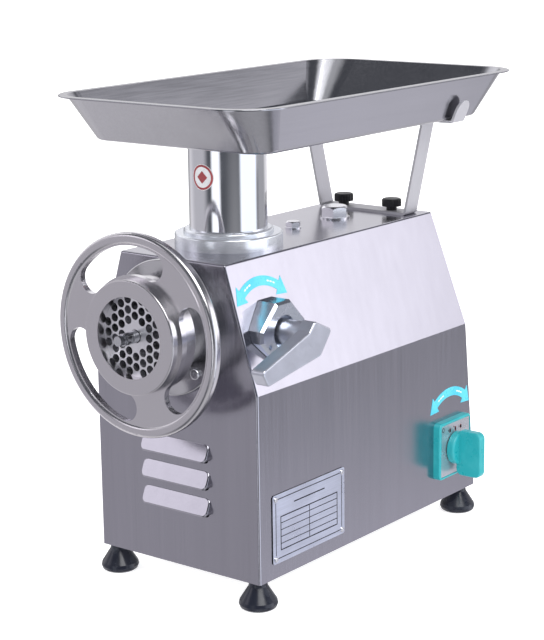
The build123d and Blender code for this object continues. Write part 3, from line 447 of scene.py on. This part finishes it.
def toward(azimuth, elevation):
    """Unit vector to a compass direction; azimuth 0 is the machine's front."""
    a, e = math.radians(azimuth), math.radians(elevation)
    return Vector((math.sin(a) * math.cos(e), -math.cos(a) * math.cos(e), math.sin(e)))


# Each soft light: azimuth, elevation, bright core and outer edge in degrees, colour, strength.
SOFT_LIGHTS = (
    (131, 9, 7, 19, (0.98, 0.96, 1.0), 1.95),
    (152, 11, 6, 14, (0.98, 0.96, 1.0), 0.7),
    (158, -8, 12, 30, (0.98, 0.96, 1.0), 0.3),
    (146, -35, 9, 22, (0.94, 0.92, 1.02), 0.55),
    (-66, -10, 26, 48, (1.0, 0.96, 1.02), 0.42),
    (4, -12, 8, 17, (0.97, 0.98, 1.03), 1.2),
    (103, -8, 22, 31, (0.9, 0.95, 1.05), 1.2),
    (-41, 22, 7, 16, (1.0, 0.96, 1.02), 1.2),
    (-115, -50, 24, 55, (1.0, 0.97, 0.98), 0.6),
    (178, -44, 8, 20, (0.98, 0.96, 1.0), 0.3),
    (200, 10, 18, 38, (1.0, 0.98, 1.0), 0.65),
    (76, 58, 9, 24, (1.0, 1.0, 1.0), 1.5),
    (60, -50, 20, 48, (1.0, 0.98, 1.0), 0.5),
    (-160, -45, 20, 45, (1.0, 0.98, 1.0), 0.35),
    (-130, 40, 14, 38, (1.0, 1.0, 1.0), 0.6),
    (0, 90, 6, 23, (1.0, 1.0, 1.0), 0.9),
    (-95, 24, 12, 30, (1.0, 0.98, 1.0), 0.7),
)
STUDIO_DIM = (0.1, 0.105, 0.12)


def vector_node(tree, operation):
    made = tree.nodes.new("ShaderNodeVectorMath")
    made.operation = operation
    return made


def soft_light(tree, direction, azimuth, elevation, core, edge, colour, strength):
    """Colour socket that is bright inside the core angle and fades out to the edge angle."""
    dot = vector_node(tree, "DOT_PRODUCT")
    tree.links.new(direction, dot.inputs[0])
    dot.inputs[1].default_value = toward(azimuth, elevation)
    lit = tree.nodes.new("ShaderNodeMapRange")
    lit.interpolation_type = "SMOOTHSTEP"
    tree.links.new(dot.outputs["Value"], lit.inputs["Value"])
    lit.inputs["From Min"].default_value = math.cos(math.radians(edge))
    lit.inputs["From Max"].default_value = math.cos(math.radians(core))
    tinted = vector_node(tree, "SCALE")
    tinted.inputs[0].default_value = Vector(colour) * strength
    tree.links.new(lit.outputs["Result"], tinted.inputs["Scale"])
    return tinted.outputs["Vector"]


def studio():
    """World: soft lights for reflections, even white for everything else."""
    world = bpy.data.worlds.new("studio")
    bpy.context.scene.world = world
    world.use_nodes = True
    tree = world.node_tree
    direction = tree.nodes.new("ShaderNodeTexCoord").outputs["Generated"]
    total = None
    for light in SOFT_LIGHTS:
        added = vector_node(tree, "ADD")
        added.inputs[0].default_value = STUDIO_DIM
        if total:
            tree.links.new(total, added.inputs[0])
        tree.links.new(soft_light(tree, direction, *light), added.inputs[1])
        total = added.outputs["Vector"]
    path = tree.nodes.new("ShaderNodeLightPath")
    choose = tree.nodes.new("ShaderNodeMix")
    choose.data_type = "RGBA"
    choose.inputs[6].default_value = (1.0, 1.0, 1.0, 1.0)
    tree.links.new(path.outputs["Is Glossy Ray"], choose.inputs[0])
    tree.links.new(total, choose.inputs[7])
    background = tree.nodes["Background"]
    tree.links.new(choose.outputs[2], background.inputs["Color"])
    background.inputs["Strength"].default_value = 1.0


def soft_lamp(name, azimuth, elevation, distance, size, energy):
    """Square area lamp aimed at the middle of the machine."""
    lamp = bpy.data.lights.new(name, "AREA")
    lamp.size = size
    lamp.energy = energy
    obj = bpy.data.objects.new(name, lamp)
    bpy.context.collection.objects.link(obj)
    target = (CAD_BOX[0] + CAD_BOX[1]) / 2
    obj.location = target + toward(azimuth, elevation) * distance
    obj.rotation_mode = "QUATERNION"
    obj.rotation_quaternion = toward(azimuth, elevation).to_track_quat("Z", "Y")


def camera():
    """Three-quarter view from the switch side, slightly above."""
    lens = bpy.data.cameras.new("camera")
    lens.lens = CAMERA_LENS
    lens.sensor_width = CAMERA_SENSOR
    lens.clip_start, lens.clip_end = 0.05, 60.0
    obj = bpy.data.objects.new("camera", lens)
    bpy.context.collection.objects.link(obj)
    turn = Matrix.Rotation(math.radians(CAMERA_AZIMUTH), 4, "Z")
    turn = turn @ Matrix.Rotation(math.pi / 2 - math.radians(CAMERA_ELEVATION), 4, "X")
    turn = turn @ Matrix.Rotation(math.radians(CAMERA_ROLL), 4, "Z")
    obj.matrix_world = Matrix.Translation(CAMERA_PLACE) @ turn
    bpy.context.scene.camera = obj


dress_sheets()
dress_head()
dress_plastics()
dress_labels()
dress_inside()
print_marks()
floor()
studio()
soft_lamp("key", **KEY_LAMP)
camera()
bpy.context.scene.view_settings.view_transform = "Standard"
